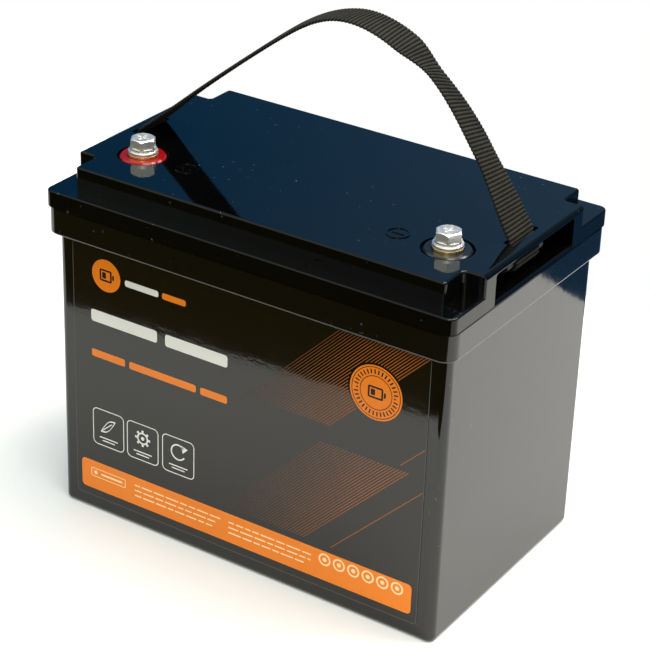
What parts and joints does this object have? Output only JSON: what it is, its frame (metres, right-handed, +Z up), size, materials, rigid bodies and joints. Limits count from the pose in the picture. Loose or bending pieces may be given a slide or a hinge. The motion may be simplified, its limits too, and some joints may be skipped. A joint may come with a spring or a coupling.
{
  "type": "battery pack",
  "caption": "Boxed lithium battery pack with a flanged lid, two bolted top terminals, a webbing carrying strap, and cells, busbars and a management board inside.",
  "frame": {"origin": "centre of the base, on the surface it stands on", "axes": "+X to the right end (the negative terminal), the label faces -Y, +Z up"},
  "size_m": [0.26, 0.168, 0.31],
  "materials": {
    "case_plastic": "glossy black ABS",
    "label_film": "gloss laminated film",
    "seal_rubber": "matt",
    "brass": "machined",
    "red_plastic": "gloss",
    "black_plastic": "gloss",
    "zinc_steel": "bright plated",
    "webbing": "ribbed woven webbing",
    "pin_plastic": "satin",
    "foam": "open foam",
    "cell_can": "satin",
    "insulation": "glass-fibre sheet",
    "plate_plastic": "satin",
    "band_steel": "satin",
    "copper": "satin",
    "board_green": "solder mask",
    "aluminium": "satin",
    "tinned_copper": "satin",
    "red_cable": "satin",
    "black_cable": "satin",
    "white_plastic": "satin"
  },
  "bodies": {
    "case": {"container": "case_plastic", "lid": "case_plastic", "lid_seal": "seal_rubber", "front_label": "label_film", "positive_terminal": "brass", "negative_terminal": "brass", "positive_ring": "red_plastic", "negative_ring": "black_plastic", "clamp_nuts": "brass", "strap_end_left": "webbing", "strap_end_right": "webbing", "strap_pin_left": "pin_plastic", "strap_pin_right": "pin_plastic", "bottom_pad": "foam", "cell_1": "cell_can", "cell_2": "cell_can", "cell_3": "cell_can", "cell_4": "cell_can", "cell_posts": "cell_can", "cell_spacers": "insulation", "end_plate_left": "plate_plastic", "end_plate_right": "plate_plastic", "band_lower": "band_steel", "band_upper": "band_steel", "end_foam": "foam", "side_foam": "foam", "busbar_1": "copper", "busbar_2": "copper", "busbar_3": "copper", "post_nuts": "zinc_steel", "tray_pillars": "plate_plastic", "tray": "insulation", "tray_screws": "zinc_steel", "board_spacers": "plate_plastic", "board": "board_green", "board_screws": "zinc_steel", "transistors": "black_plastic", "heat_sink": "aluminium", "board_posts": "brass", "board_nuts": "zinc_steel", "terminal_lugs": "tinned_copper", "cell_lugs": "tinned_copper", "board_lugs": "tinned_copper", "positive_cable": "red_cable", "cell_cable": "black_cable", "negative_cable": "black_cable", "sense_connector": "white_plastic", "sense_wires": "black_cable", "temperature_bead": "black_plastic"},
    "strap": {"strap": "webbing"},
    "positive_washers": {"positive_flat_washer": "zinc_steel", "positive_spring_washer": "zinc_steel"},
    "positive_screw": {"positive_bolt": "zinc_steel"},
    "negative_washers": {"negative_flat_washer": "zinc_steel", "negative_spring_washer": "zinc_steel"},
    "negative_screw": {"negative_bolt": "zinc_steel"}
  },
  "joints": [
    {"name": "strap_swing", "type": "hinge", "parent": "case", "child": "strap", "pos_m": [0, 0, 0.2256], "axis": [1, 0, 0], "range_deg": [-75, 50]},
    {"name": "positive_lift", "type": "slide", "parent": "case", "child": "positive_washers", "axis": [0, 0, 1], "range_m": [0, 0.0113]},
    {"name": "positive_turn", "type": "hinge", "parent": "positive_washers", "child": "positive_screw", "pos_m": [-0.098, -0.0367, 0.2179], "axis": [0, 0, 1], "range_deg": [0, 3240]},
    {"name": "negative_lift", "type": "slide", "parent": "case", "child": "negative_washers", "axis": [0, 0, 1], "range_m": [0, 0.0113]},
    {"name": "negative_turn", "type": "hinge", "parent": "negative_washers", "child": "negative_screw", "pos_m": [0.098, -0.0367, 0.2179], "axis": [0, 0, 1], "range_deg": [0, 3240]}
  ],
  "couplings": [
    {"joint": "positive_lift", "follows": "positive_turn", "m_per_rad": 0.00019894},
    {"joint": "negative_lift", "follows": "negative_turn", "m_per_rad": 0.00019894}
  ]
}
